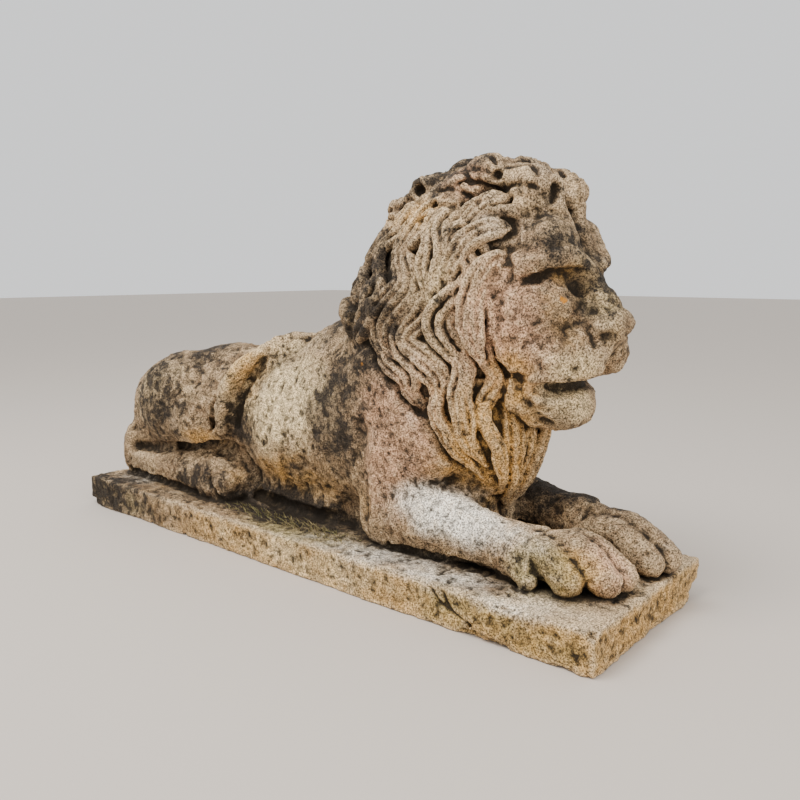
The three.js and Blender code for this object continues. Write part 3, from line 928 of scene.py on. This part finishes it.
# %% [markdown]
# ## Weathered limestone
# The stone itself is a warm beige. Over it come the stains, one on another: tan, cream, pink and ochre in
# the stone's skin, green algae, a pale wash, the ridges lightened partly by wear and partly as painted
# highlight, brown and then black crust with painted shade and dirt under the belly, the grain of the
# stone, two spots of orange lichen, and last the hollows darkened with dirt and painted shade. One
# material carries them all, because the statue is one stone and the stains run across it.

# %% Stone material
limestone = bpy.data.materials.new("weathered limestone")
limestone.use_nodes = True
tree = limestone.node_tree
shader = tree.nodes["Principled BSDF"]
place = add(tree, "ShaderNodeTexCoord").outputs["Object"]


def mask(name):
    return add(tree, "ShaderNodeAttribute", attribute_name=name).outputs["Fac"]


def stain_or_shade(colour, name, rgb, size, strength, spread=1.6, soft=0.45):
    """The colour with one stain laid over it, its edge broken by noise. With the crust mask it lays painted
    shade too.
    """
    share = grouped(tree, broken_patch, Place=place, Mask=mask(name), Size=size, Break=spread, Soft=soft)
    return blended(tree, counted(tree, "MULTIPLY", share, strength), colour, (*rgb, 1))


def grained(colour, size, dark, light):
    """The colour with a fine grain that darkens and lightens it."""
    grain = grouped(tree, specks, Place=place, Size=size, From=0.38, To=0.62)
    sockets = {"Value": grain, "To Min": dark, "To Max": light}
    shade = add(tree, "ShaderNodeMapRange", sockets).outputs["Result"]
    mixed = add(tree, "ShaderNodeMix", {0: 1.0, 6: colour, 7: shade}, data_type="RGBA", blend_type="MULTIPLY")
    return mixed.outputs[2]


mottled = stepped(tree, noise_of(tree, place, 15.0, 8, 0.72), 0.34, 0.66)
colour = blended(tree, mottled, (0.170, 0.102, 0.052, 1), (0.45, 0.310, 0.170, 1))
colour = stain_or_shade(colour, "tan", (0.52, 0.31, 0.105), 12.0, 0.85)
colour = stain_or_shade(colour, "cream", (0.80, 0.61, 0.335), 18.0, 0.9)
colour = stain_or_shade(colour, "pink", (0.56, 0.315, 0.185), 11.0, 0.78)
colour = stain_or_shade(colour, "ochre", (0.58, 0.31, 0.070), 12.0, 0.85)
colour = stain_or_shade(colour, "green", (0.24, 0.21, 0.08), 15.0, 0.6)
colour = stain_or_shade(colour, "pale", (0.90, 0.83, 0.70), 14.0, 0.9)
# Ridges lightened: partly wear, partly painted highlight.
colour = blended(tree, counted(tree, "MULTIPLY", mask("crest"), 0.5), colour, (0.66, 0.50, 0.305, 1))
# Brown, then black crust; the crust mask also lays painted shade and dirt under the belly and on the slab
# beside it.
colour = stain_or_shade(colour, "crust_and_shade", (0.130, 0.088, 0.050), 13.0, 0.75, 2.2, 0.35)
colour = stain_or_shade(colour, "crust_and_shade", (0.020, 0.015, 0.011), 42.0, 0.92, 2.3, 0.18)
colour = grained(colour, 430.0, 0.2, 1.9)
colour = grained(colour, 170.0, 0.8, 1.15)
colour = stain_or_shade(colour, "lichen", (0.56, 0.21, 0.010), 60.0, 0.9, 1.0, 0.2)
# Hollows, nostrils and mouth darkened to near black: partly dirt, partly painted shade.
broken = stepped(tree, noise_of(tree, place, 80.0, 4, 0.6), 0.02, 0.4)
dirt_and_shade = counted(tree, "MULTIPLY", mask("hollow"), broken)
colour = blended(tree, counted(tree, "MULTIPLY", dirt_and_shade, 0.96), colour, (0.014, 0.009, 0.004, 1))
tree.links.new(colour, shader.inputs["Base Color"])
tree.links.new(stepped(tree, noise_of(tree, place, 90.0), -0.9, 1.0), shader.inputs["Roughness"])
shader.inputs["Specular IOR Level"].default_value = 0.25
height = grouped(tree, rough_bump, Place=place, Size=150.0)
bump = add(tree, "ShaderNodeBump", {"Height": height, "Strength": 0.7, "Distance": 0.003})
tree.links.new(bump.outputs["Normal"], shader.inputs["Normal"])
lion.data.materials.append(limestone)
print("stone nodes", len(tree.nodes))

# %% [markdown]
# ## Dry moss
# Straw-coloured moss and dead grass stand in the dirt and painted shade under the belly, as thin bent
# blades. They are real mesh, because they stick out of the stone, and they stand on the slab's worn top,
# which is found in the cells.

# %% Moss blades
def slab_height(x, y):
    """The height of the slab's worn top at a place, in metres."""
    column = stone[int((x - corner[0]) / CELL), int((y - corner[1]) / CELL)]
    first = int((0.03 - corner[2]) / CELL)
    return axis_z[first + int(np.argmax(column[first:] > 0))]


BLADES = 340

blade_points, blade_faces = [], []
for _ in range(BLADES):
    x = dice.uniform(-0.17, 0.135)
    y = -0.098 - 0.035 * dice.random() ** 1.5
    foot = np.array((x, y, slab_height(x, y) - 0.002))
    lean = np.array((dice.normal(0, 0.5), -abs(dice.normal(0, 0.5)), 1.0))
    lean *= dice.uniform(0.007, 0.018) / np.linalg.norm(lean)
    droop = np.array((dice.normal(0, 1), dice.normal(-0.6, 0.7), -0.6)) * 0.004
    across = np.cross(lean, (dice.normal(), dice.normal(), 0.2))
    across *= dice.uniform(0.0006, 0.0012) / np.linalg.norm(across)
    start = len(blade_points)
    for share in (0, 0.5, 0.85):
        middle = foot + lean * share + droop * share ** 2
        blade_points += [middle - across * (1 - share), middle + across * (1 - share)]
    blade_points.append(foot + lean + droop)
    blade_faces += [(start, start + 1, start + 3, start + 2), (start + 2, start + 3, start + 5, start + 4),
                    (start + 4, start + 5, start + 6)]
moss_mesh = bpy.data.meshes.new("dry_moss")
moss_mesh.from_pydata(blade_points, [], blade_faces)
moss = bpy.data.objects.new("dry_moss", moss_mesh)
bpy.context.scene.collection.objects.link(moss)
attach(moss, "root")
print("blades", len(blade_faces) // 3)

# %% Moss material
straw = bpy.data.materials.new("dry moss")
straw.use_nodes = True
tree = straw.node_tree
shader = tree.nodes["Principled BSDF"]
place = add(tree, "ShaderNodeTexCoord").outputs["Object"]
greener = grouped(tree, broken_patch, Place=place, Mask=0.45, Size=40.0, Break=1.6, Soft=0.3)
colour = blended(tree, greener, (0.42, 0.33, 0.15, 1), (0.20, 0.19, 0.06, 1))
brown = grouped(tree, specks, Place=place, Size=210.0, From=0.5, To=0.62)
tree.links.new(blended(tree, brown, colour, (0.10, 0.07, 0.035, 1)), shader.inputs["Base Color"])
shader.inputs["Roughness"].default_value = 0.85
moss.data.materials.append(straw)
print("moss nodes", len(tree.nodes))

# %% [markdown]
# ## Floor and light
# A pale floor and broad soft lights show the carving without hard shadows. The main light hangs over the
# lion's right shoulder, and a weak one fills in from the front.

# %% Floor
floor_mesh = bpy.data.meshes.new("floor")
floor_half = 14.0
floor_corners = [(x * floor_half, y * floor_half, 0) for x, y in ((-1, -1), (1, -1), (1, 1), (-1, 1))]
floor_mesh.from_pydata(floor_corners, [], [(0, 1, 2, 3)])
floor = bpy.data.objects.new("floor", floor_mesh)
bpy.context.scene.collection.objects.link(floor)
floor.location.z = cad_low[2]

floor_look = bpy.data.materials.new("pale floor")
floor_look.use_nodes = True
floor_look.node_tree.nodes["Principled BSDF"].inputs["Base Color"].default_value = (0.60, 0.53, 0.46, 1)
floor_look.node_tree.nodes["Principled BSDF"].inputs["Roughness"].default_value = 0.8
floor.data.materials.append(floor_look)
print("floor at", round(floor.location.z, 4))

# %% Lights
world = bpy.data.worlds.new("soft room")
bpy.context.scene.world = world
world.use_nodes = True
world.node_tree.nodes["Background"].inputs["Color"].default_value = (0.93, 0.94, 0.95, 1)
world.node_tree.nodes["Background"].inputs["Strength"].default_value = 1.15


LIGHTS_AIM = Vector((0.05, 0, 0.25))


def soft_light(name, place, size, watts):
    data = bpy.data.lights.new(name, "AREA")
    data.shape = "DISK"
    data.size = size
    data.energy = watts
    light = bpy.data.objects.new(name, data)
    bpy.context.scene.collection.objects.link(light)
    light.location = place
    light.rotation_euler = (LIGHTS_AIM - Vector(place)).to_track_quat("-Z", "Y").to_euler()


soft_light("main light", (-0.2, -1.2, 2.6), 1.4, 70)
soft_light("front light", (2.4, -0.6, 1.4), 1.6, 18)
print("lights set")
